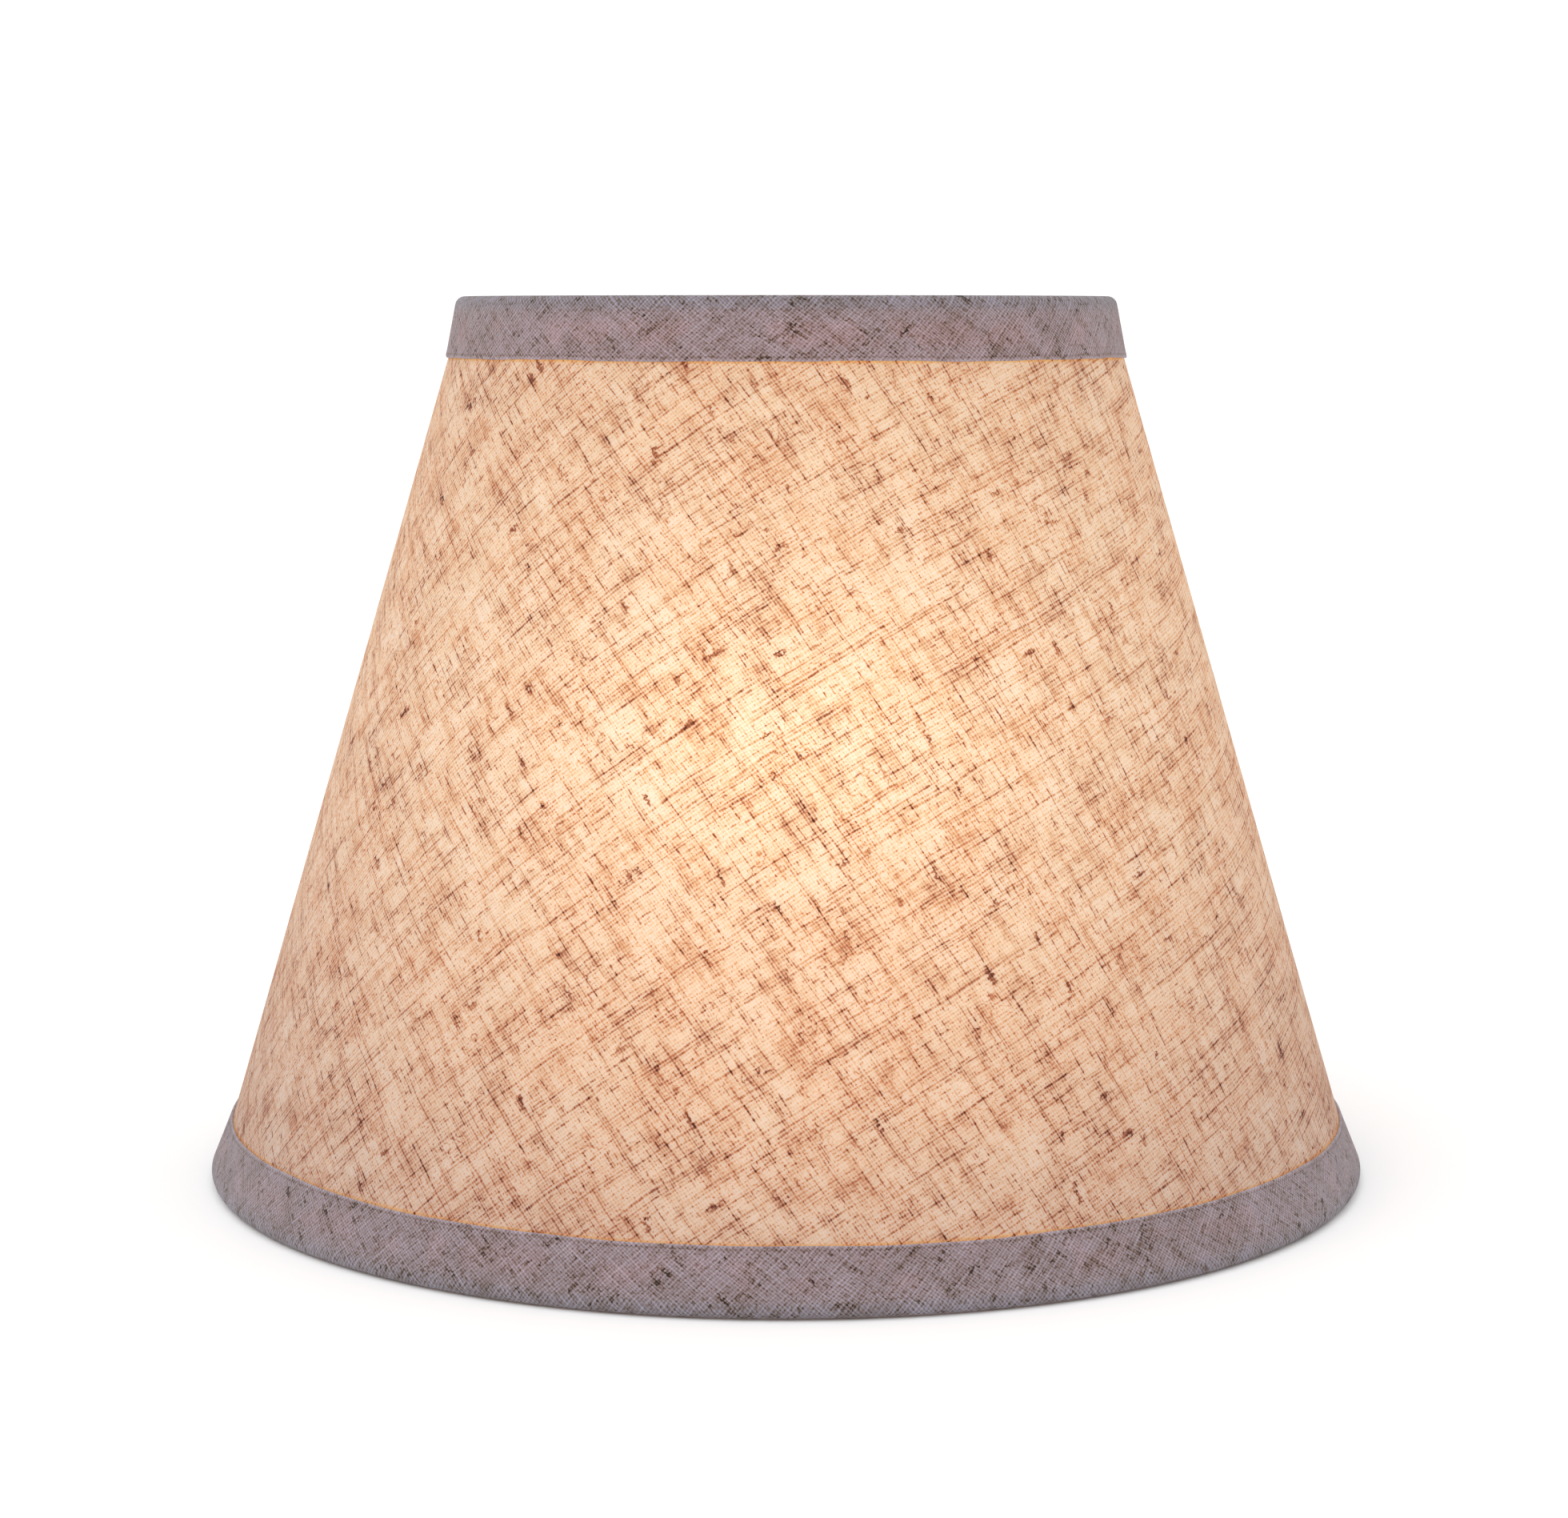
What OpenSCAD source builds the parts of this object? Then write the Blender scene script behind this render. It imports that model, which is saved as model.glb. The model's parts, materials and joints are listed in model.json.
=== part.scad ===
// Hardback empire lamp shade.
// A linen and styrene cone, lapped at the back, glued to two wire rings. Bias tape
// covers each ring. Three cranked arms carry a washer that sits on the lamp's harp.
// The origin is the centre of the bottom rim, +Z is up, and the lap is at +Y.

/* [Shade] */
// Diameter over the tape at the bottom rim
bottom_d = 228; // [180:1:300]
// Diameter over the tape at the top rim
top_d = 128.5; // [110:0.5:150]
// Overall height
height = 171.5; // [140:0.5:220]

/* [Laminate] */
// Thickness of the linen cover
linen_t = 0.35; // [0.3:0.05:0.5]
// Thickness of the styrene liner
liner_t = 0.45; // [0.35:0.05:0.6]
// Width of the glued lap at the back
lap_w = 9; // [7:0.5:14]
// Width of the adhesive strip in the lap
seam_tape_w = 6; // [3:0.5:6]
// Thickness of the adhesive strip in the lap
seam_tape_t = 0.1; // [0.05:0.05:0.2]

/* [Rim tape] */
// Height of each tape on the outside
tape_h = 11.5; // [8:0.5:20]
// Height of each tape on the inside
tape_inside_h = 8.5; // [6:0.5:14]
// Thickness of the folded tape
tape_t = 0.5; // [0.3:0.05:0.8]

/* [Wire frame] */
// Wire diameter of the two rings
ring_wire_d = 2.8; // [2.4:0.1:3.4]
// Wire diameter of the spider arms
arm_wire_d = 2.4; // [2:0.1:2.8]
// Depth of the hub's top face below the top rim
hub_drop = 13; // [12:0.5:25]
// Angle at which the arms drop towards the hub
arm_slope = 50; // [40:1:65]

/* [Hub] */
// Outer diameter of the washer
hub_d = 25.4; // [22:0.1:32]
// Diameter of the harp hole
hub_hole_d = 11.1; // [10:0.1:12]
// Thickness of the washer
hub_t = 1.6; // [1.2:0.1:2.5]

/* [Hidden] */
$fn = 120;

glue_gap = 0.03;
edge_gap = 0.05;
big = 2 * bottom_d;

// Wire rings, and the cone that runs through the middle of their wires
ring_r = ring_wire_d / 2;
wrap = ring_r + glue_gap + tape_t;
bottom_ring_r = bottom_d / 2 - wrap;
bottom_ring_z = wrap;
top_ring_r = top_d / 2 - wrap;
top_ring_z = height - wrap;
taper = (bottom_ring_r - top_ring_r) / (top_ring_z - bottom_ring_z);
across = sqrt(1 + taper * taper);
function cone_r(z) = bottom_ring_r - taper * (z - bottom_ring_z);

// Layers of the wall, as distances out from that cone
laminate_t = linen_t + liner_t;
inner_face = -laminate_t / 2;
middle_face = inner_face + liner_t;
outer_face = laminate_t / 2;
lap_liner_face = outer_face + seam_tape_t;
lap_middle_face = lap_liner_face + liner_t;
lap_outer_face = lap_liner_face + laminate_t;
panel_bottom = bottom_ring_z + ring_r + edge_gap;
panel_top = top_ring_z - ring_r - edge_gap;
lap_end_gap = 0.2;

// Spider arms and hub
arm_r = arm_wire_d / 2;
arm_bend_r = 5;
arm_outer_run = 8;
arm_inner_end = 8.5;
weld_bite = 0.03;
wire_sides = 20;
bend_steps = 8;
hub_top = height - hub_drop;
hub_chamfer = 0.3;
arm_hub_z = hub_top + arm_r * cos(180 / wire_sides);
arm_fall = top_ring_z - arm_hub_z;
arm_slant = (arm_fall - 2 * arm_bend_r * (1 - cos(arm_slope))) / sin(arm_slope);
arm_angles = [90, 210, 330];
slit_w = arm_wire_d + 1;

// A layer of the wall between two distances from the ring cone
module wall(inner, outer, z_low, z_high) {
    rotate_extrude()
        polygon([
            [cone_r(z_low) + inner * across, z_low],
            [cone_r(z_low) + outer * across, z_low],
            [cone_r(z_high) + outer * across, z_high],
            [cone_r(z_high) + inner * across, z_high]
        ]);
}

// The part of the space behind the shade between two x positions
module at_back(x_low, x_high) {
    intersection() {
        children();
        translate([x_low, 0, -height])
            cube([x_high - x_low, big, 3 * height]);
    }
}

// A sheet rolled once round: its end steps up at the back and lies over its start
module lapped_sheet(inner, outer, lap_inner, lap_outer, step_x, step_t) {
    difference() {
        wall(inner, outer, panel_bottom, panel_top);
        at_back(step_x, -lap_w / 2 + lap_end_gap)
            wall(inner - 1, outer + 1, panel_bottom - 1, panel_top + 1);
    }
    at_back(step_x, step_x + step_t)
        wall(inner, lap_outer, panel_bottom, panel_top);
    at_back(step_x, lap_w / 2)
        wall(lap_inner, lap_outer, panel_bottom, panel_top);
}

module liner() {
    color("white")
        lapped_sheet(inner_face, middle_face, lap_liner_face, lap_middle_face,
                     -lap_w / 2 - liner_t, liner_t);
}

module linen_panel() {
    color("burlywood")
        lapped_sheet(middle_face, outer_face, lap_middle_face, lap_outer_face,
                     -lap_w / 2 - laminate_t, linen_t);
}

module seam_tape() {
    color("ivory")
        at_back(-seam_tape_w / 2, seam_tape_w / 2)
            wall(outer_face, lap_liner_face, panel_bottom, panel_top);
}

module wire_ring(r, z) {
    translate([0, 0, z])
        rotate_extrude()
            translate([r, 0])
                circle(r = ring_r, $fn = 48);
}

module bottom_ring() {
    color("silver")
        wire_ring(bottom_ring_r, bottom_ring_z);
}

module top_ring() {
    color("silver")
        wire_ring(top_ring_r, top_ring_z);
}

// Stations along an arm that lies over +X: distance out, height and downward angle
arm_end_r = top_ring_r - ring_r + weld_bite;
bend_out_x = top_ring_r - arm_outer_run;
bend_in_x = bend_out_x - 2 * arm_bend_r * sin(arm_slope) - arm_slant * cos(arm_slope);
function bend_drop(angle) = arm_bend_r * (1 - cos(angle));
arm_route = concat(
    [[arm_end_r, top_ring_z, 0]],
    [for (i = [0 : bend_steps])
        let (a = arm_slope * i / bend_steps)
        [bend_out_x - arm_bend_r * sin(a), top_ring_z - bend_drop(a), a]],
    [for (i = [bend_steps : -1 : 0])
        let (a = arm_slope * i / bend_steps)
        [bend_in_x + arm_bend_r * sin(a), arm_hub_z + bend_drop(a), a]],
    [[arm_inner_end, arm_hub_z, 0]]
);

// Corners of the wire's section at one station, with a flat facet underneath
function wire_corners(station) =
    [for (i = [0 : wire_sides - 1])
        let (turn = (i + 0.5) * 360 / wire_sides)
        [station[0] - arm_r * sin(turn) * sin(station[2]),
         arm_r * cos(turn),
         station[1] + arm_r * sin(turn) * cos(station[2])]];

module spider_arm(angle) {
    last = (len(arm_route) - 1) * wire_sides;
    color("silver")
        rotate([0, 0, angle])
            polyhedron(
                points = [for (station = arm_route) each wire_corners(station)],
                faces = concat(
                    [[for (i = [wire_sides - 1 : -1 : 0]) i]],
                    [for (k = [0 : len(arm_route) - 2], i = [0 : wire_sides - 1])
                        let (here = k * wire_sides, next = (i + 1) % wire_sides)
                        [here + i, here + next,
                         here + wire_sides + next, here + wire_sides + i]],
                    [[for (i = [0 : wire_sides - 1]) last + i]]
                )
            );
}

module spider_arm_1() {
    spider_arm(arm_angles[0]);
}

module spider_arm_2() {
    spider_arm(arm_angles[1]);
}

module spider_arm_3() {
    spider_arm(arm_angles[2]);
}

module hub() {
    color("silver")
        translate([0, 0, hub_top - hub_t])
            difference() {
                rotate_extrude()
                    polygon([
                        [0, 0], [hub_d / 2 - hub_chamfer, 0],
                        [hub_d / 2, hub_chamfer],
                        [hub_d / 2, hub_t - hub_chamfer],
                        [hub_d / 2 - hub_chamfer, hub_t], [0, hub_t]
                    ]);
                translate([0, 0, -1])
                    cylinder(d = hub_hole_d, h = hub_t + 2);
            }
}

// Tape profile: up one face of the wall, round the wire, and up the other face.
// side is 1 for a tape that rises from the bottom ring, -1 for one below the top ring.
wrap_steps = 14;
function tangent(centre, from, side) =
    let (d = from - centre)
    atan2(d[1], d[0]) - side * acos((ring_r + glue_gap) / norm(d));
function ray(angle, length) = length * [cos(angle), sin(angle)];
function tape_profile(centre, side) =
    let (
        rim_z = centre[1] - side * wrap,
        out_z = rim_z + side * tape_h,
        in_z = rim_z + side * tape_inside_h,
        out_end = [cone_r(out_z) + (outer_face + glue_gap) * across, out_z],
        in_end = [cone_r(in_z) + (inner_face - glue_gap) * across, in_z],
        out_a = tangent(centre, out_end, side),
        in_a = tangent(centre, in_end, -side) - side * 360,
        sweep = [for (i = [0 : wrap_steps]) out_a + (in_a - out_a) * i / wrap_steps]
    )
    concat(
        [out_end],
        [for (a = sweep) centre + ray(a, ring_r + glue_gap)],
        [in_end, in_end + ray(in_a, tape_t)],
        [for (i = [wrap_steps : -1 : 0]) centre + ray(sweep[i], wrap)],
        [out_end + ray(out_a, tape_t)]
    );

// The tape steps out over the lap of the wall
module tape(centre, side, z_low, z_high) {
    lap_clear = lap_outer_face + glue_gap;
    hump_x = lap_w / 2 + laminate_t;
    difference() {
        union() {
            rotate_extrude()
                polygon(tape_profile(centre, side));
            at_back(-hump_x - tape_t, hump_x)
                wall(outer_face + glue_gap, lap_clear + tape_t, z_low, z_high);
        }
        at_back(-hump_x - glue_gap, lap_w / 2 + glue_gap)
            wall(outer_face, lap_clear, panel_bottom, panel_top);
    }
}

module bottom_trim() {
    color("rosybrown")
        tape([bottom_ring_r, bottom_ring_z], 1, panel_bottom, tape_h);
}

module top_trim() {
    color("rosybrown")
        difference() {
            tape([top_ring_r, top_ring_z], -1, height - tape_h, panel_top);
            for (angle = arm_angles)
                rotate([0, 0, angle])
                    translate([0, -slit_w / 2, height - tape_inside_h - 1])
                        cube([top_ring_r, slit_w, top_ring_z + slit_w / 2 + 1
                              - height + tape_inside_h]);
        }
}

linen_panel();
liner();
seam_tape();
top_ring();
bottom_ring();
spider_arm_1();
spider_arm_2();
spider_arm_3();
hub();
top_trim();
bottom_trim();
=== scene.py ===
import json
import math
import bpy
import numpy as np
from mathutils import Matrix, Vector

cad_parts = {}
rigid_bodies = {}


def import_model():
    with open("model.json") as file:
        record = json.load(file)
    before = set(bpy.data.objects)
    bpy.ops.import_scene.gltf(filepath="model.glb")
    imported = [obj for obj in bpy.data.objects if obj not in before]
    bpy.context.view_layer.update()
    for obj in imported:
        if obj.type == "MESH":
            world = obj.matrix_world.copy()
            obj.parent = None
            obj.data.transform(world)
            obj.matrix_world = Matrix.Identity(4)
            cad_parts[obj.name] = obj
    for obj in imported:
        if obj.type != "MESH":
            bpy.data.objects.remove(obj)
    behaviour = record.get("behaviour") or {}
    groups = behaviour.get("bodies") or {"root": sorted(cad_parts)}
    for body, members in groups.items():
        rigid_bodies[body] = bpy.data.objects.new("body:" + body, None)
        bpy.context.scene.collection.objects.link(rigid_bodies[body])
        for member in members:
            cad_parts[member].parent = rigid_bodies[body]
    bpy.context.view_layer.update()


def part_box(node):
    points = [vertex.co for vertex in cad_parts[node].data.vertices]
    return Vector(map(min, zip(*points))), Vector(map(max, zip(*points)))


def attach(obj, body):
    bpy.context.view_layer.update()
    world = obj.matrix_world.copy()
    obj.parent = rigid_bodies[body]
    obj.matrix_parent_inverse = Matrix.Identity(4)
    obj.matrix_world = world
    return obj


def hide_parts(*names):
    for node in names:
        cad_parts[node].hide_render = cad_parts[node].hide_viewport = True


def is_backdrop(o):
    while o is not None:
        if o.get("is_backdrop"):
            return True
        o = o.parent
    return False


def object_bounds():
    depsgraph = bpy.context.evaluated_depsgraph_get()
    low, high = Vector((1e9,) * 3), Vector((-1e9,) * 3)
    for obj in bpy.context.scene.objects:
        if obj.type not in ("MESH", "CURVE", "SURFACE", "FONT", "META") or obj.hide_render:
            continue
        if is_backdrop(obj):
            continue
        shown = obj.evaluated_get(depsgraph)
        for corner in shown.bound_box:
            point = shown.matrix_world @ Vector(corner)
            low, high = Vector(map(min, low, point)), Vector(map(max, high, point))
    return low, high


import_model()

# A lit hardback lamp shade. Mesh code makes the four sheets: the linen, its styrene
# liner and the two rim tapes. The wires, hub and seam tape are the CAD's own meshes.
# The lap of the wall and the joins of the tapes are at the back, at +Y.

# ---------------------------------------------------------------- sizes, in metres
# The pack gives no layer thicknesses, so these repeat the ones in part.scad
MM = 0.001
LINEN_T = 0.35 * MM
LINER_T = 0.45 * MM
SEAM_TAPE_T = 0.10 * MM
TAPE_T = 0.50 * MM
GLUE_GAP = 0.03 * MM
EDGE_GAP = 0.05 * MM
LAP_W = 9.0 * MM
TAPE_INSIDE_H = 8.5 * MM
SLIT_W = 3.4 * MM

# The liner stays this far inside the linen, so that their faces don't coincide
LINER_GAP = 0.01 * MM

# Distances from the lap's centre, with +X positive: where the wall starts, and where
# its far end climbs over that start
WALL_START_X = -4.3 * MM
CLIMB_FROM_X, CLIMB_TO_X = -6.0 * MM, -4.5 * MM

# The same for a rim tape, whose end lies over its start
TAPE_START_X, TAPE_END_X = 9 * MM, 17 * MM

# The tape round the lap, in mm: where it climbs to the lap and where it comes down
HUMP_UP, HUMP_DOWN = (-6.9, -5.8), (4.7, 5.9)

# How far round the wire, from the outside leg to the inside one, the slits begin
SLIT_FROM = 0.62

# Middles of the slits, as angles from the back, over the three spider arms
ARM_ANGLES = (2 * math.pi / 3, 4 * math.pi / 3, 2 * math.pi)

# Waves in the tapes' laid edge: height in mm, number round the shade, and phase
# as a fixed part and a part that differs between the two tapes
EDGE_WAVES = ((0.09, 7, 0.0, 0.6), (0.07, 13, 1.9, 0.0), (0.04, 31, 0.0, 2.7))
EDGE_WAVE_REACH = 2.5 * MM

# Mesh density: columns round the shade, and rows up the wall
LINEN_GRID, LINER_GRID = (340, 90), (240, 40)
BOTTOM_TAPE_COLUMNS, TOP_TAPE_COLUMNS = 300, 240
ROUND_WIRE_STEPS = 25


def ring_section(node):
    """Centre radius, centre height and wire radius of a wire ring."""
    low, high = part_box(node)
    wire = (high[2] - low[2]) / 2
    return high[0] - wire, (low[2] + high[2]) / 2, wire


BOTTOM_R, BOTTOM_Z, WIRE_R = ring_section("bottom_ring")
TOP_R, TOP_Z, _ = ring_section("top_ring")
TAPE_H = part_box("bottom_trim")[1][2]
TAPER = (BOTTOM_R - TOP_R) / (TOP_Z - BOTTOM_Z)
ACROSS = math.sqrt(1 + TAPER * TAPER)
SIN_HALF = TAPER / ACROSS
NORMAL_R, NORMAL_Z = 1 / ACROSS, TAPER / ACROSS

LAMINATE_T = LINEN_T + LINER_T
INNER_FACE = -LAMINATE_T / 2
MIDDLE_FACE = INNER_FACE + LINER_T
OUTER_FACE = LAMINATE_T / 2
LAP_RISE = LAMINATE_T + SEAM_TAPE_T
PANEL_LOW = BOTTOM_Z + WIRE_R + EDGE_GAP
PANEL_HIGH = TOP_Z - WIRE_R - EDGE_GAP


def cone_r(z):
    """Radius of the middle of the wall at height z."""
    return BOTTOM_R - TAPER * (z - BOTTOM_Z)


def smooth(low, high, x):
    """0 below low, 1 above high, and a smooth step between them."""
    t = np.clip((x - low) / (high - low), 0, 1)
    return t * t * (3 - 2 * t)


# ---------------------------------------------------------------- camera
# Place in metres, tilt in degrees and lens in mm, which came from fitting the shade's
# outline to the photograph
CAMERA_PLACE = (-0.00042, -0.6742, 0.1689)
CAMERA_TILT_DOWN = 7.46
CAMERA_LENS = 78.74


def add_camera():
    data = bpy.data.cameras.new("camera")
    data.sensor_fit = "HORIZONTAL"
    data.sensor_width = 36
    data.lens = CAMERA_LENS
    data.clip_end = 20
    cam = bpy.data.objects.new("camera", data)
    cam.location = CAMERA_PLACE
    cam.rotation_euler = (math.radians(90 - CAMERA_TILT_DOWN), 0, 0)
    bpy.context.scene.collection.objects.link(cam)
    bpy.context.scene.camera = cam


# ---------------------------------------------------------------- mesh code
def shell(name, outer, inner, flat, place, mask=None):
    """Closed thin sheet between two grids of points, with walls round every hole.

    outer and inner are (rows, columns, 3); flat is the cloth's own plane and place
    is the spot on the shade, both (rows, columns, 2) and kept as UV maps.
    """
    rows, cols = outer.shape[:2]
    if mask is None:
        mask = np.ones((rows - 1, cols - 1), bool)
    count = rows * cols
    points = np.concatenate([outer.reshape(-1, 3), inner.reshape(-1, 3)])

    def vid(i, j, side):
        return i * cols + j + side * count

    faces, sides = [], []
    for i, j in zip(*np.nonzero(mask)):
        a, b, c, d = (i, j), (i + 1, j), (i + 1, j + 1), (i, j + 1)
        faces.append([vid(*a, 0), vid(*b, 0), vid(*c, 0), vid(*d, 0)])
        faces.append([vid(*d, 1), vid(*c, 1), vid(*b, 1), vid(*a, 1)])
        sides += [0, 1]
        edges = [(a, b, i, j - 1), (b, c, i + 1, j), (c, d, i, j + 1), (d, a, i - 1, j)]
        for p, q, ni, nj in edges:
            inside = 0 <= ni < rows - 1 and 0 <= nj < cols - 1 and mask[ni, nj]
            if not inside:
                faces.append([vid(*q, 0), vid(*p, 0), vid(*p, 1), vid(*q, 1)])
                sides.append(0)
    used = np.unique(np.array(faces))
    remap = np.full(2 * count, -1)
    remap[used] = np.arange(len(used))
    faces = remap[np.array(faces)]
    mesh = bpy.data.meshes.new(name)
    mesh.from_pydata(points[used].tolist(), [], faces.tolist())
    for label, grid in (("flat", flat), ("place", place)):
        uv = np.concatenate([grid.reshape(-1, 2)] * 2)[used]
        layer = mesh.uv_layers.new(name=label)
        layer.data.foreach_set("uv", uv[faces.ravel()].ravel())
    mesh.polygons.foreach_set("material_index", np.array(sides, dtype=np.int32))
    mesh.polygons.foreach_set("use_smooth", np.ones(len(mesh.polygons), bool))
    mesh.update()
    obj = bpy.data.objects.new(name, mesh)
    bpy.context.scene.collection.objects.link(obj)
    return obj


def around(a, r, z):
    """Points at angle a from the back, turning towards +X, at radius r and height z."""
    return np.stack([r * np.sin(a), r * np.cos(a), z + 0 * r * a], axis=-1)


def unrolled(a, r):
    """The cone's surface laid flat, with the front's centre line straight up."""
    rho, phi = r / SIN_HALF, (math.pi - a) * SIN_HALF
    return np.stack([rho * np.sin(phi), -rho * np.cos(phi)], axis=-1)


def lapped_wall(name, low, high, columns, rows):
    """A layer of the wall, rolled once round so that its end lies over its start."""
    z = np.linspace(PANEL_HIGH, PANEL_LOW, rows)[None, :]
    r = cone_r(z)

    # Distances from the lap's centre. The even columns round the shade, which stand
    # between the close ones at its two ends, are filled in as angles.
    near = np.linspace(0, 1, 12, endpoint=False) * 12 * MM
    steps = np.concatenate([
        WALL_START_X + near,
        np.full(columns, np.nan),
        np.linspace(-12, -6.5, 6) * MM,
        np.linspace(CLIMB_FROM_X, CLIMB_TO_X, 9),
        np.linspace(-4.0 * MM, LAP_W / 2, 9),
    ])
    first, last = len(near), len(near) + columns
    a = np.empty((len(steps), rows))
    for i, x in enumerate(steps):
        if not np.isnan(x):
            a[i] = np.arcsin(x / r[0]) + (2 * math.pi if i >= last else 0)
    turn = (np.arange(columns) + 1) / (columns + 1)
    a[first:last] = a[first - 1] + turn[:, None] * (a[last] - a[first - 1])
    rise = np.zeros(len(steps))
    rise[last:] = smooth(CLIMB_FROM_X, CLIMB_TO_X, steps[last:]) * LAP_RISE
    rise = rise[:, None]
    grids = []
    for face in (high, low):
        offset = face + rise
        grids.append(around(a, r + offset * NORMAL_R, z + offset * NORMAL_Z))

    # Distance round the shade from the lap, and up the slant from the bottom edge
    seam = r * np.where(a > math.pi, a - 2 * math.pi, a)
    place = np.stack([seam, (z - PANEL_LOW) * ACROSS + 0 * a], axis=-1)
    return shell(name, grids[0], grids[1], unrolled(a, r), place)


def tape_path(side):
    """Inner face of the tape's section, as a path of points in radius and height.

    The path runs from the outside edge, round the wire, to the inside edge. side is 1
    for the tape that rises from the bottom ring, -1 for the one below the top ring.
    Also gives the path's outward normals, the lengths along it, and the indices
    between which it turns round the wire.
    """
    centre = np.array([BOTTOM_R, BOTTOM_Z]) if side > 0 else np.array([TOP_R, TOP_Z])
    clear = WIRE_R + GLUE_GAP
    rim_z = centre[1] - side * (clear + TAPE_T)
    out_z, in_z = rim_z + side * TAPE_H, rim_z + side * TAPE_INSIDE_H
    out_end = np.array([cone_r(out_z) + (OUTER_FACE + GLUE_GAP) * ACROSS, out_z])
    in_end = np.array([cone_r(in_z) + (INNER_FACE - GLUE_GAP) * ACROSS, in_z])

    def tangent(point, way):
        d = point - centre
        return math.atan2(d[1], d[0]) - way * math.acos(clear / np.hypot(*d))

    out_a = tangent(out_end, side)
    in_a = tangent(in_end, -side) - side * 2 * math.pi
    sweep = np.linspace(out_a, in_a, ROUND_WIRE_STEPS)
    ray = np.stack([np.cos(sweep), np.sin(sweep)], axis=-1)
    arc = centre + ray * clear
    close_steps = np.array([0, 0.03, 0.08, 0.16, 0.28, 0.6, 1.1]) * MM

    def leg(end, start):
        """Straight run from a folded edge, with close steps where the edge rounds off."""
        length = np.hypot(*(start - end))
        d = np.concatenate([close_steps, np.arange(1.9 * MM, length - 0.5 * MM, 0.9 * MM)])
        return end + (start - end) * (d / length)[:, None]

    outside, inside = leg(out_end, arc[0]), leg(in_end, arc[-1])[::-1]
    path = np.concatenate([outside, arc, inside])
    normal = np.concatenate([np.tile(ray[0], (len(outside), 1)), ray,
                             np.tile(ray[-1], (len(inside), 1))])
    s = np.concatenate([[0], np.cumsum(np.hypot(*np.diff(path, axis=0).T))])
    return path, normal, s, len(outside), len(outside) + len(arc)


def tape_columns(side, mid_r):
    """Angles round the shade at which a tape has points, and its slits for the arms."""
    marks = [TAPE_START_X / mid_r, 2 * math.pi + TAPE_END_X / mid_r]
    slits = []
    if side < 0:
        half = math.asin(SLIT_W / 2 / (TOP_R - WIRE_R))
        for middle in ARM_ANGLES:
            slits.append((middle - half, middle + half))
            marks += list(slits[-1])
    at_lap = [2 * math.pi + x * MM / mid_r for x in
              (-7.4, -6.8, -6.4, -6.0, -5.6, -5.2, -4.6, 4.4, 4.9, 5.4, 5.9, 6.4, 7.0, 8.6,
               8.9, 9.2)]
    at_join = [x * MM / mid_r for x in (16.6, 17.4, 18.2)]
    count = BOTTOM_TAPE_COLUMNS if side > 0 else TOP_TAPE_COLUMNS
    even = np.linspace(marks[0], marks[1], count)
    fixed = np.array(marks + at_lap + at_join)

    # An even column too close to a fixed one is left out
    gap = 0.4 * (even[1] - even[0])
    even = even[np.abs(even[:, None] - fixed).min(axis=1) > gap]
    return np.sort(np.concatenate([even, fixed]))[:, None], slits


def tape_thickness(a, x_back, s, mid_r):
    """Height of the tape's middle above the path, its thickness, and the distance
    from the nearer edge."""
    # The start is pressed thin, and the end lies over it as a second layer
    under = 1 - smooth(TAPE_END_X + 0.2 * MM, TAPE_END_X + 1.6 * MM, a * mid_r)
    over = np.where(a > math.pi,
                    smooth(TAPE_START_X - 1.9 * MM, TAPE_START_X - 0.2 * MM, x_back), 0)
    low = over * 0.33 * MM
    high = TAPE_T - under * 0.19 * MM + over * 0.16 * MM

    # Each edge is a soft fold: rounded off, with a slight bead just inside it
    from_edge = np.minimum(s, s[-1] - s)
    half_t = TAPE_T / 2
    dip = np.sqrt(np.clip(1 - (1 - np.clip(from_edge / half_t, 0, 1)) ** 2, 0.03, 1))
    bead = 1 + 0.16 * np.exp(-(((from_edge - 0.6 * MM) / (0.5 * MM)) ** 2))
    return (low + high) / 2, (high - low) * (dip * bead)[None, :], from_edge


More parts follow.
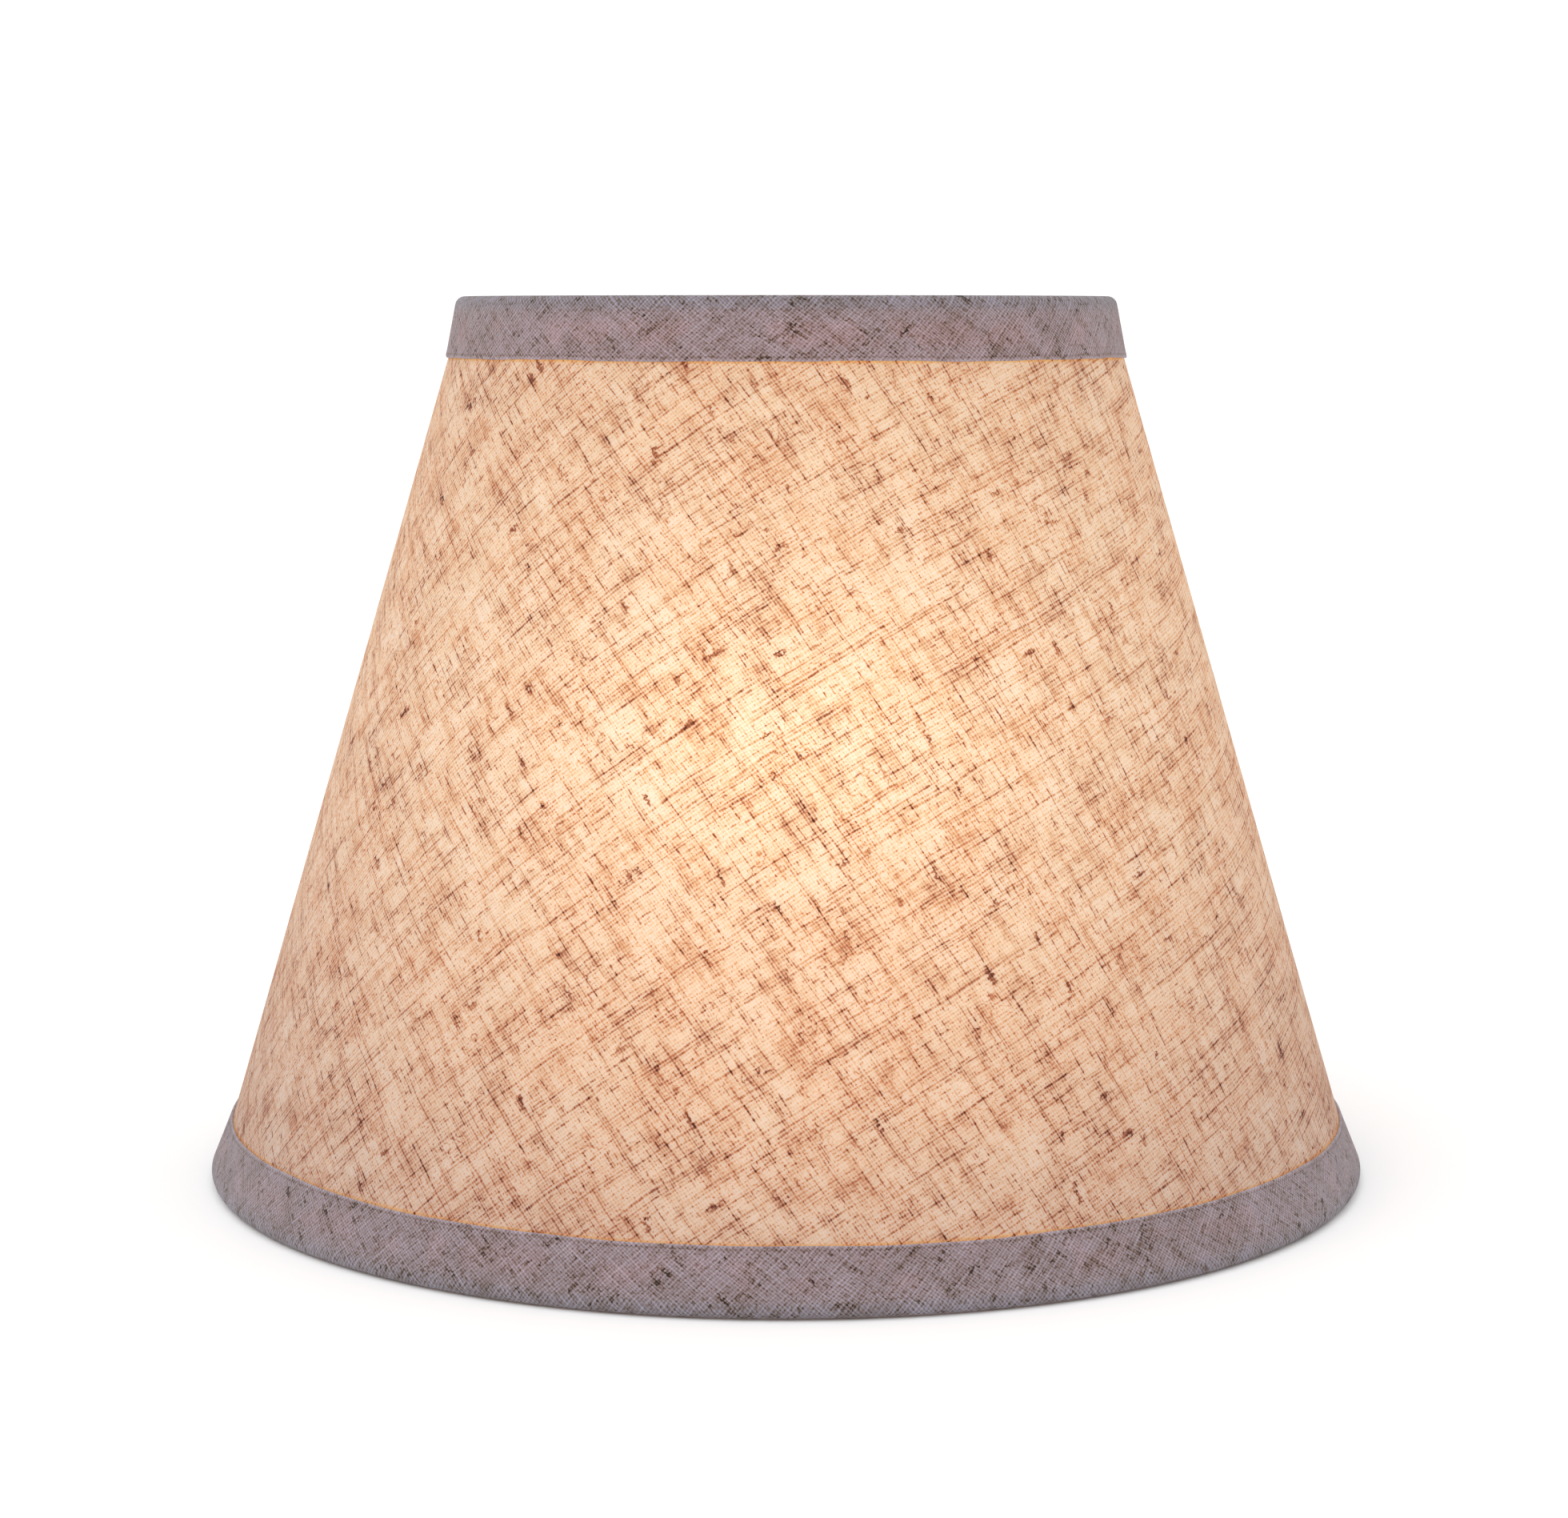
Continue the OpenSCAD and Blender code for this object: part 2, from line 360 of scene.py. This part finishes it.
def rim_tape(name, side):
    """Folded bias tape round a rim, with its end lying over its start at the back."""
    path, normal, s, arc_from, arc_to = tape_path(side)
    mid_r = BOTTOM_R if side > 0 else TOP_R
    a, slits = tape_columns(side, mid_r)

    # Distance from the lap's centre near the tape's end, and far from it elsewhere
    far = 9.0
    x_back = np.where(a > math.pi, a - 2 * math.pi, far) * mid_r
    middle, thick, from_edge = tape_thickness(a, x_back, s, mid_r)

    # The outside leg, and a little of the turn round the wire, steps over the lap
    z = path[:, 1] if side > 0 else BOTTOM_Z + TOP_Z - path[:, 1]
    on_leg = np.arange(len(s)) < arc_from + 6
    climb = np.where(on_leg, smooth(BOTTOM_Z + 0.1 * MM, PANEL_LOW - 0.05 * MM, z), 0)
    hump = smooth(*HUMP_UP, x_back / MM) * (1 - smooth(*HUMP_DOWN, x_back / MM))
    lift = hump * climb[None, :] * LAP_RISE

    # Hand-laid edges are not quite true, and the tape is not quite flat near them
    wave = sum(height * np.sin(number * a + phase + own * side)
               for height, number, phase, own in EDGE_WAVES) * MM
    edge_pull = np.exp(-s / EDGE_WAVE_REACH)[None, :] * wave
    along = np.gradient(path, axis=0)
    along /= np.hypot(*along.T)[:, None]
    bump = 0.03 * MM * np.sin(5 * a + 1.1) * np.sin(11 * a + side) * np.exp(-from_edge / (3 * MM))

    def grid(half):
        offset = middle + lift + half * thick / 2 + bump
        r = path[:, 0] + normal[:, 0] * offset + along[:, 0] * edge_pull
        zz = path[:, 1] + normal[:, 1] * offset + along[:, 1] * edge_pull
        return around(a, r, zz)

    # The slits run from the top of the wire to the inside edge
    mask = np.ones((len(a) - 1, len(s) - 1), bool)
    mid_a = (a[1:, 0] + a[:-1, 0]) / 2
    crest = arc_from + int(round((arc_to - arc_from) * SLIT_FROM))
    for low_a, high_a in slits:
        mask[(mid_a > low_a) & (mid_a < high_a), crest:] = False

    length = (math.pi - a) * mid_r
    flat = np.stack([length + 0 * s, side * (s[0] - s) + 0 * a], axis=-1)
    place = np.stack([x_back + 0 * s, s + 0 * a], axis=-1)
    outer, inner = grid(1), grid(-1)
    if side < 0:
        # The path runs the other way here, so the grid is turned to keep faces outward
        outer, inner, flat, place = (g[:, ::-1] for g in (outer, inner, flat, place))
        mask = mask[:, ::-1]
    return shell(name, outer, inner, flat, place, mask)


# ---------------------------------------------------------------- shader code
class Shader:
    """Short names for the nodes of one material."""

    def __init__(self, name):
        self.mat = bpy.data.materials.new(name)
        self.mat.use_nodes = True
        self.tree = self.mat.node_tree
        self.tree.nodes.clear()

    def node(self, kind, **settings):
        node = self.tree.nodes.new(kind)
        for key, value in settings.items():
            setattr(node, key, value)
        return node

    def put(self, socket, value):
        if isinstance(value, bpy.types.NodeSocket):
            self.tree.links.new(value, socket)
        else:
            socket.default_value = value

    def math(self, op, a, b=0.0, c=0.0):
        node = self.node("ShaderNodeMath", operation=op)
        for socket, value in zip(node.inputs, (a, b, c)):
            self.put(socket, value)
        return node.outputs[0]

    def add(self, *values):
        total = values[0]
        for value in values[1:]:
            total = self.math("ADD", total, value)
        return total

    def mul(self, *values):
        total = values[0]
        for value in values[1:]:
            total = self.math("MULTIPLY", total, value)
        return total

    def step(self, low, high, x):
        """0 below low, 1 above high, and a smooth step between them."""
        node = self.node("ShaderNodeMapRange", interpolation_type="SMOOTHSTEP")
        for socket, value in zip(node.inputs, (x, low, high, 0.0, 1.0)):
            self.put(socket, value)
        return node.outputs[0]

    def minus(self, a, b):
        return self.math("SUBTRACT", a, b)

    def scaled(self, x, factor, shift):
        return self.math("MULTIPLY_ADD", x, factor, shift)

    def vector(self, x, y):
        node = self.node("ShaderNodeCombineXYZ")
        for socket, value in zip(node.inputs, (x, y)):
            self.put(socket, value)
        return node.outputs[0]

    def noise(self, x, y, detail=0.0, rough=0.5):
        node = self.node("ShaderNodeTexNoise", noise_dimensions="2D")
        self.put(node.inputs["Vector"], self.vector(x, y))
        node.inputs["Scale"].default_value = 1
        node.inputs["Detail"].default_value = detail
        node.inputs["Roughness"].default_value = rough
        return node.outputs[0]

    def field(self, x, y, scale, shift=0.0, detail=0.0, rough=0.5):
        """Noise over the cloth, scale cycles to the mm; shift sets it apart from others."""
        u, v = self.mul(x, scale), self.mul(y, scale)
        return self.noise(u, self.add(v, shift) if shift else v, detail, rough)

    def noise_1d(self, w):
        node = self.node("ShaderNodeTexNoise", noise_dimensions="1D")
        self.put(node.inputs["W"], w)
        node.inputs["Scale"].default_value = 1
        node.inputs["Detail"].default_value = 0
        return node.outputs[0]

    def grain(self, scale, detail):
        """Noise through the object's own space, for pieces with no UV map."""
        where = self.node("ShaderNodeTexCoord").outputs["Object"]
        node = self.node("ShaderNodeTexNoise")
        self.put(node.inputs["Vector"], where)
        node.inputs["Scale"].default_value = scale
        node.inputs["Detail"].default_value = detail
        return node.outputs[0]

    def spots(self, x, y):
        """Distance to the nearest random point, and that point's own colour."""
        node = self.node("ShaderNodeTexVoronoi", voronoi_dimensions="2D")
        self.put(node.inputs["Vector"], self.vector(x, y))
        node.inputs["Scale"].default_value = 1
        parts = self.node("ShaderNodeSeparateColor")
        self.put(parts.inputs[0], node.outputs["Color"])
        return node.outputs["Distance"], parts.outputs

    def uv(self, label):
        """A UV map's two coordinates, in mm."""
        node = self.node("ShaderNodeUVMap", uv_map=label)
        parts = self.node("ShaderNodeSeparateXYZ")
        self.put(parts.inputs[0], node.outputs[0])
        return (self.mul(parts.outputs[0], 1000.0), self.mul(parts.outputs[1], 1000.0))

    def ramp(self, x, stops):
        node = self.node("ShaderNodeValToRGB")
        self.put(node.inputs[0], x)
        band = node.color_ramp
        while len(band.elements) < len(stops):
            band.elements.new(0.5)
        for element, (where, colour) in zip(band.elements, stops):
            element.position = where
            element.color = (*colour, 1)
        return node.outputs[0]

    def mix(self, factor, a, b, blend="MIX"):
        """Two colours mixed: inputs 6 and 7 and output 2 are the node's colour sockets."""
        node = self.node("ShaderNodeMix", data_type="RGBA", blend_type=blend)
        self.put(node.inputs[0], factor)
        for socket, value in ((node.inputs[6], a), (node.inputs[7], b)):
            if isinstance(value, tuple):
                value = (*value, 1)
            self.put(socket, value)
        return node.outputs[2]

    def bump(self, height, depth):
        node = self.node("ShaderNodeBump")
        node.inputs["Strength"].default_value = 1
        node.inputs["Distance"].default_value = depth
        self.put(node.inputs["Height"], height)
        return node.outputs[0]

    def principled(self, **values):
        node = self.node("ShaderNodeBsdfPrincipled")
        for key, value in values.items():
            socket = node.inputs[key.replace("_", " ")]
            if isinstance(value, tuple):
                value = (*value, 1)
            self.put(socket, value)
        return node.outputs[0]

    def translucent(self, colour):
        node = self.node("ShaderNodeBsdfTranslucent")
        self.put(node.inputs["Color"], (*colour, 1) if isinstance(colour, tuple) else colour)
        return node.outputs[0]

    def finish(self, surface, other=None, share=0.5):
        """The material, with share of the other shader mixed into the surface."""
        if other is not None:
            node = self.node("ShaderNodeMixShader")
            node.inputs[0].default_value = share
            self.put(node.inputs[1], surface)
            self.put(node.inputs[2], other)
            surface = node.outputs[0]
        out = self.node("ShaderNodeOutputMaterial")
        self.put(out.inputs["Surface"], surface)
        return self.mat


def srgb(r, g, b):
    """Linear colour of an 8-bit display colour."""
    return tuple(v / 255 / 12.92 if v <= 10 else ((v / 255 + 0.055) / 1.055) ** 2.4
                 for v in (r, g, b))


# Each family of yarns: its angle on the unrolled cloth in degrees, and its pitch in mm
PANEL_YARNS = (32.3, 0.659), (-55.1, 0.52)
TAPE_YARNS = (45.8, 0.62), (-37.7, 0.51)

# Height of the weave's relief
PANEL_RELIEF, TAPE_RELIEF = 0.10 * MM, 0.12 * MM

# Bands, in mm: the half width of the lap, and up the slant where the tapes' edges lie, with the
# painted line of light beside each
LAP_EDGE = (4.3, 4.9)
LIGHT_ABOVE_BOTTOM_TAPE, LIGHT_BELOW_TOP_TAPE = (8.8, 9.2), (162.6, 162.9)


def threads(n, x, y, angle, pitch, seed):
    """One family of yarns, from the cloth's flat coordinates in mm.

    s runs along the yarns and t across them. strength, heavy and slub vary along each
    yarn by itself, and bundle over a few yarns together.
    """
    cosine, sine = math.cos(math.radians(angle)), math.sin(math.radians(angle))
    s = n.add(n.mul(x, cosine), n.mul(y, sine), seed * 131.0)
    t = n.add(n.mul(x, -sine), n.mul(y, cosine), seed * 57.0)
    wander = n.noise(n.mul(s, 0.12), n.mul(t, 0.22))
    spacing = n.noise_1d(n.mul(t, 0.40 / pitch))
    cell = n.mul(n.add(t, n.mul(wander, 0.5), n.mul(spacing, 0.6 * pitch)), 1 / pitch)
    row = n.mul(n.math("FLOOR", cell), 13.7)
    across = n.math("ABSOLUTE", n.scaled(n.math("FRACT", cell), 2.0, -1.0))
    return dict(
        s=s, t=t, cell=cell, profile=n.minus(1.0, across),
        strength=n.step(0.25, 0.75, n.noise(n.mul(s, 0.11), row, 1.0)),
        heavy=n.step(0.53, 0.70, n.noise(n.mul(s, 0.034), n.add(row, 5.3), 1.0, 0.6)),
        slub=n.step(0.58, 0.76, n.noise(n.mul(s, 0.15), n.add(row, 2.1), 1.0, 0.6)),
        bundle=n.step(0.50, 0.78, n.noise(n.mul(s, 0.09), n.mul(t, 0.55), 1.0)))


def knots(n, fam, ragged, long, wide, keep):
    """Isolated dark nubs, drawn out along one family: long by wide mm, and the share
    of the cells that have none."""
    u = n.mul(n.add(fam["s"], n.mul(ragged, 2.2)), 1 / long)
    v = n.mul(n.add(fam["t"], n.mul(ragged, -2.0)), 1 / wide)
    distance, own = n.spots(u, v)
    chosen = n.mul(n.math("GREATER_THAN", own[0], keep), n.scaled(own[2], 0.75, 0.25))
    edge = n.math("DIVIDE", distance, n.scaled(own[1], 0.22, 0.07))
    return n.mul(n.minus(1.0, n.step(0.15, 1.0, edge)), chosen)


def linen(n, x, y, warp, weft):
    """Everything the cloth's surface shows, from its flat coordinates in mm."""
    a = threads(n, x, y, *warp, seed=1.0)
    b = threads(n, x, y, *weft, seed=2.0)
    cloud = n.field(x, y, 0.11, detail=2.0, rough=0.6)
    fine = n.field(x, y, 1.15, detail=1.0)
    bead = n.step(0.40, 0.62, fine)
    fleck = n.step(0.56, 0.72, n.field(x, y, 1.9, 20.0, 1.0))
    patch = n.step(0.44, 0.60, n.field(x, y, 0.085, 33.0))

    # A curled fibre is a stretch of one contour line of a noise
    ring = n.math("ABSOLUTE", n.minus(n.field(x, y, 0.21, detail=1.0), 0.5))
    stray = n.step(0.64, 0.70, n.field(x, y, 0.13, 70.0))
    curl = n.mul(n.minus(1.0, n.step(0.003, 0.012, ring)), stray)
    ragged = n.minus(fine, 0.5)
    knot = n.math("MAXIMUM", knots(n, a, ragged, long=10.0, wide=2.6, keep=0.92),
                  knots(n, b, ragged, long=10.0, wide=2.6, keep=0.87))
    return dict(a=a, b=b, cloud=cloud, fine=fine, bead=bead, fleck=fleck, patch=patch,
                curl=curl, knot=knot)


def weave_height(n, f):
    """Over-and-under relief of a plain weave."""
    a, b = f["a"], f["b"]
    checker = n.mul(n.math("SINE", n.mul(a["cell"], math.pi)),
                    n.math("SINE", n.mul(b["cell"], math.pi)))
    over = n.scaled(checker, 0.5, 0.5)
    under = n.minus(1.0, over)
    return n.math("MAXIMUM", n.mul(a["profile"], n.scaled(over, 0.6, 0.4)),
                  n.mul(b["profile"], n.scaled(under, 0.6, 0.4)))


def yarn_density(n, fam, f, even, swing, heavy, bundle, slub):
    """How much one family of yarns darkens the light that comes through."""
    line = n.step(0.0, 0.9, fam["profile"])
    ragged = n.mul(fam["slub"], n.scaled(f["bead"], 0.8, 0.2))
    long = n.mul(fam["heavy"], n.scaled(f["bead"], 0.5, 0.5))
    own = n.add(even, n.mul(fam["strength"], swing), n.mul(long, heavy),
                n.mul(ragged, slub), n.mul(f["fleck"], 0.12))
    return n.add(n.mul(line, own), n.mul(fam["bundle"], bundle), n.mul(ragged, 0.12 * slub))


def panel_linen():
    """The wall's linen: one density drives what it reflects and what it lets through."""
    n = Shader("panel_linen")
    x, y = n.uv("flat")
    seam, up = n.uv("place")
    f = linen(n, x, y, *PANEL_YARNS)
    dark = n.add(
        yarn_density(n, f["a"], f, even=0.10, swing=0.07, heavy=0.23, bundle=0.10, slub=0.25),
        yarn_density(n, f["b"], f, even=0.08, swing=0.07, heavy=0.23, bundle=0.12, slub=0.35),
        n.mul(n.minus(f["cloud"], 0.5), 0.22),
        n.mul(n.minus(f["fine"], 0.5), 0.16),
        n.mul(f["curl"], 0.22),
        n.mul(f["knot"], 0.60),
        0.02)

    # Painted shade darkens the lap, where the wall is doubled, and a painted line of light shows
    # beside each tape
    lap = n.minus(1.0, n.step(*LAP_EDGE, n.math("ABSOLUTE", seam)))
    tape_edge_light = n.add(n.minus(1.0, n.step(*LIGHT_ABOVE_BOTTOM_TAPE, up)),
                  n.step(*LIGHT_BELOW_TOP_TAPE, up))
    dark = n.add(dark, n.mul(lap, 0.13), n.mul(tape_edge_light, -0.04))
    through = n.ramp(dark, [
        (0.0, srgb(255, 254, 248)), (0.14, srgb(255, 250, 232)), (0.30, srgb(250, 228, 182)),
        (0.50, srgb(228, 172, 108)), (0.75, srgb(174, 100, 54)), (1.0, srgb(92, 44, 30))])
    shown = n.ramp(dark, [
        (0.0, srgb(164, 168, 186)), (0.2, srgb(154, 154, 168)), (0.45, srgb(122, 110, 110)),
        (0.75, srgb(92, 72, 66)), (1.0, srgb(52, 38, 36))])
    golden = n.mul(f["fleck"], n.minus(1.0, f["patch"]), 0.7)
    through = n.mix(golden, through, (1.0, 0.80, 0.48), "MULTIPLY")
    smoky = n.mul(n.step(0.30, 0.60, dark), f["patch"], 0.6)
    through = n.mix(smoky, through, (0.80, 0.74, 0.96), "MULTIPLY")
    # Painted light: beside each tape the light let through and the colour shown are warmer
    through = n.mix(tape_edge_light, through, (1.0, 0.84, 0.42), "MULTIPLY")
    shown = n.mix(tape_edge_light, shown, (1.15, 0.95, 0.70), "MULTIPLY")
    normal = n.bump(weave_height(n, f), PANEL_RELIEF)
    front = n.principled(Base_Color=shown, Roughness=0.85, Normal=normal,
                         Sheen_Weight=0.08, Sheen_Roughness=0.5, Specular_IOR_Level=0.3)
    return n.finish(front, n.translucent(through), share=0.5)


def tape_linen():
    """The tapes' linen, doubled and folded, so it reflects more than it lets through."""
    n = Shader("tape_linen")
    x, y = n.uv("flat")
    edge = n.uv("place")[1]
    f = linen(n, x, y, *TAPE_YARNS)
    a, b = f["a"], f["b"]
    light = n.add(
        n.mul(n.step(0.25, 0.95, a["profile"]), n.scaled(a["strength"], 0.5, 0.5)),
        n.mul(n.step(0.25, 0.95, b["profile"]), n.scaled(b["strength"], 0.5, 0.5)))
    speck = n.step(0.54, 0.66, n.field(x, y, 1.7, 90.0, 1.0))
    dark = n.add(n.mul(speck, 0.17), n.mul(a["slub"], f["bead"], 0.26),
                 n.mul(b["slub"], f["bead"], 0.26), n.mul(f["knot"], 0.5),
                 n.mul(a["bundle"], 0.07), n.mul(b["bundle"], 0.07))

    # Painted highlight and shade: the outside edge is lighter along its fold, and darker in a
    # groove just inside it
    fold_highlight = n.minus(1.0, n.step(0.10, 0.50, edge))
    groove_shade = n.mul(n.step(0.45, 0.65, edge), n.minus(1.0, n.step(0.75, 1.0, edge)))
    tone = n.add(0.33, n.mul(light, 0.25), n.mul(n.minus(f["cloud"], 0.5), 0.22),
                 n.mul(fold_highlight, 0.16), n.mul(groove_shade, -0.10), n.mul(dark, -1.0))
    shown = n.ramp(tone, [
        (0.0, srgb(46, 36, 32)), (0.2, srgb(112, 94, 84)), (0.42, srgb(143, 136, 143)),
        (0.7, srgb(176, 172, 188)), (1.0, srgb(206, 204, 220))])
    through = n.ramp(tone, [
        (0.0, srgb(60, 30, 20)), (0.4, srgb(184, 124, 92)), (1.0, srgb(212, 154, 120))])

    # Thin places let more light through, between the edge and the rim
    thin = n.mul(n.step(0.46, 0.62, n.field(x, y, 0.12, 50.0, 1.0)),
                 n.step(1.0, 4.0, edge), n.minus(1.0, n.step(6.0, 9.0, edge)))
    through = n.mix(thin, through, (1.32, 1.20, 1.0), "MULTIPLY")
    normal = n.bump(weave_height(n, f), TAPE_RELIEF)
    front = n.principled(Base_Color=shown, Roughness=0.85, Normal=normal,
                         Sheen_Weight=0.25, Sheen_Roughness=0.5, Specular_IOR_Level=0.3)
    return n.finish(front, n.translucent(through), share=0.3)


def cloth_back():
    """The cloth's back, the side that is stuck down, which only its cut edges show."""
    n = Shader("cloth_back")
    x, y = n.uv("flat")
    fleck = n.field(x, y, 1.5)
    shown = n.ramp(fleck, [(0.3, srgb(168, 150, 146)), (0.7, srgb(196, 184, 186))])
    front = n.principled(Base_Color=shown, Roughness=0.9)
    return n.finish(front, n.translucent(srgb(245, 205, 150)), share=0.5)


def styrene():
    """White liner sheet, faintly mottled and warm from the light behind it."""
    n = Shader("styrene")
    x, y = n.uv("flat")
    mottle = n.field(x, y, 0.25, detail=3.0)
    shown = n.ramp(mottle, [(0.3, srgb(238, 230, 216)), (0.7, srgb(247, 240, 228))])
    rough = n.scaled(mottle, 0.2, 0.35)
    grain = n.field(x, y, 5.0, detail=2.0)
    front = n.principled(Base_Color=shown, Roughness=rough, Normal=n.bump(grain, 0.02 * MM))
    return n.finish(front, n.translucent(srgb(255, 232, 205)), share=0.5)


def wire_metal():
    """Nickel-plated steel wire, a little uneven in tone and polish."""
    n = Shader("plated_wire")
    tone = n.grain(260, 4)
    shown = n.ramp(tone, [(0.3, srgb(202, 199, 191)), (0.7, srgb(224, 222, 215))])
    rough = n.scaled(tone, 0.24, 0.14)
    front = n.principled(Base_Color=shown, Metallic=1.0, Roughness=rough,
                         Normal=n.bump(tone, 0.03 * MM))
    return n.finish(front)


def adhesive():
    """Amber double-sided tape in the lap."""
    n = Shader("adhesive")
    cloud = n.grain(400, 2)
    shown = n.ramp(cloud, [(0.3, srgb(224, 206, 160)), (0.7, srgb(238, 226, 190))])
    rough = n.scaled(cloud, 0.3, 0.2)
    front = n.principled(Base_Color=shown, Roughness=rough)
    return n.finish(front, n.translucent(srgb(240, 215, 165)), share=0.5)


def dress(obj, *materials):
    obj.data.materials.clear()
    for material in materials:
        obj.data.materials.append(material)


def dress_node(name, material):
    """New finish on a carried-over CAD node, through its object's material slots."""
    obj = bpy.data.objects[name]
    for slot in obj.material_slots:
        slot.link = "OBJECT"
        slot.material = material


# ---------------------------------------------------------------- light
WORLD_STRENGTH = 1.1

# The key light's power, and the angle in degrees that it fills in the sky
KEY_POWER, KEY_SOFTNESS = 0.6, 60

LAMP_RADIUS = 0.025

# The lamps inside, each both in front of the axis and behind it: name, distance from
# the axis, height, colour and power in watts. Their places were found by trial, and
# their colours and powers by a fit to the brightness of the photograph's wall.
LAMPS = (
    ("glow_", 0.044, 0.084, (1.0, 0.975, 0.835), 0.0459),
    ("glow_low_", 0.044, 0.026, (1.0, 0.64, 0.285), 0.0463),
    ("glow_high_", 0.024, 0.140, (1.0, 0.685, 0.275), 0.0224),
)
FLOOR_LAMP = ((0.0, 0.0, 0.080), (1.0, 0.90, 0.76), 0.14)


def add_lamp(name, place, colour, power, receivers, blockers):
    """A soft lamp that lights only the receivers. Only the blockers shade it, or every
    object if they are None."""
    data = bpy.data.lights.new(name, "POINT")
    data.color, data.energy, data.shadow_soft_size = colour, power, LAMP_RADIUS
    data.cycles.use_multiple_importance_sampling = False
    lamp = bpy.data.objects.new(name, data)
    lamp.location = place
    lamp.visible_camera = False
    bpy.context.scene.collection.objects.link(lamp)
    lamp.light_linking.receiver_collection = receivers
    if blockers is not None:
        lamp.light_linking.blocker_collection = blockers


def add_light(cloth, wires, floor):
    world = bpy.data.worlds.new("studio")
    world.use_nodes = True
    bpy.context.scene.world = world
    back = world.node_tree.nodes["Background"]
    back.inputs[0].default_value = (1, 1, 1, 1)
    back.inputs[1].default_value = WORLD_STRENGTH

    key = bpy.data.lights.new("key", "SUN")
    key.angle, key.energy = math.radians(KEY_SOFTNESS), KEY_POWER
    obj = bpy.data.objects.new("key", key)
    obj.rotation_euler = (math.radians(40), 0, math.radians(-35))
    bpy.context.scene.collection.objects.link(obj)

    lit = bpy.data.collections.new("lit_from_inside")
    for obj in cloth + wires:
        lit.objects.link(obj)
    shading = bpy.data.collections.new("wires_that_shade")
    for obj in wires:
        shading.objects.link(obj)
    ground = bpy.data.collections.new("ground")
    ground.objects.link(floor)
    for end, side in (("front", -1), ("back", 1)):
        for name, out, z, colour, power in LAMPS:
            add_lamp(name + end, (0, out * side, z), colour, power, lit, shading)
    add_lamp("glow_floor", *FLOOR_LAMP, ground, None)


def add_floor(z):
    """Plain pale floor just under the shade."""
    mesh = bpy.data.meshes.new("floor")
    size = 6.0
    mesh.from_pydata([(-size, -size, z), (size, -size, z), (size, size, z), (-size, size, z)],
                     [], [(0, 1, 2, 3)])
    floor = bpy.data.objects.new("floor", mesh)
    bpy.context.scene.collection.objects.link(floor)
    n = Shader("floor")
    dress(floor, n.finish(n.principled(Base_Color=(0.94, 0.94, 0.94), Roughness=0.9,
                                       Specular_IOR_Level=0.1)))
    floor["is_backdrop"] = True
    return floor


# ---------------------------------------------------------------- the shade
add_camera()
bpy.context.scene.view_settings.view_transform = "Standard"

panel = lapped_wall("linen_cloth", MIDDLE_FACE, OUTER_FACE, *LINEN_GRID)
liner = lapped_wall("styrene_liner", INNER_FACE, MIDDLE_FACE - LINER_GAP, *LINER_GRID)
bottom = rim_tape("bottom_tape", 1)
top = rim_tape("top_tape", -1)

back = cloth_back()
white = styrene()
tape_finish = tape_linen()
dress(panel, panel_linen(), back)
dress(liner, white, white)
dress(bottom, tape_finish, back)
dress(top, tape_finish, back)
metal = wire_metal()
wires = ["bottom_ring", "top_ring", "spider_arm_1", "spider_arm_2", "spider_arm_3", "hub"]
for name in wires:
    dress_node(name, metal)
dress_node("seam_tape", adhesive())

for piece, node, slot in ((panel, "linen_panel", "linen"), (liner, "liner", "styrene"),
                          (bottom, "bottom_trim", "trim"), (top, "top_trim", "trim")):
    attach(piece, "root")
    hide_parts(node)

# Length of a tape's section, from its outside edge round the wire to its inside edge
tape_w = tape_path(1)[2][-1]

floor = add_floor(min(0.0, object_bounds()[0][2]))
nodes = bpy.data.objects
add_light([panel, liner, bottom, top, nodes["seam_tape"]], [nodes[w] for w in wires], floor)
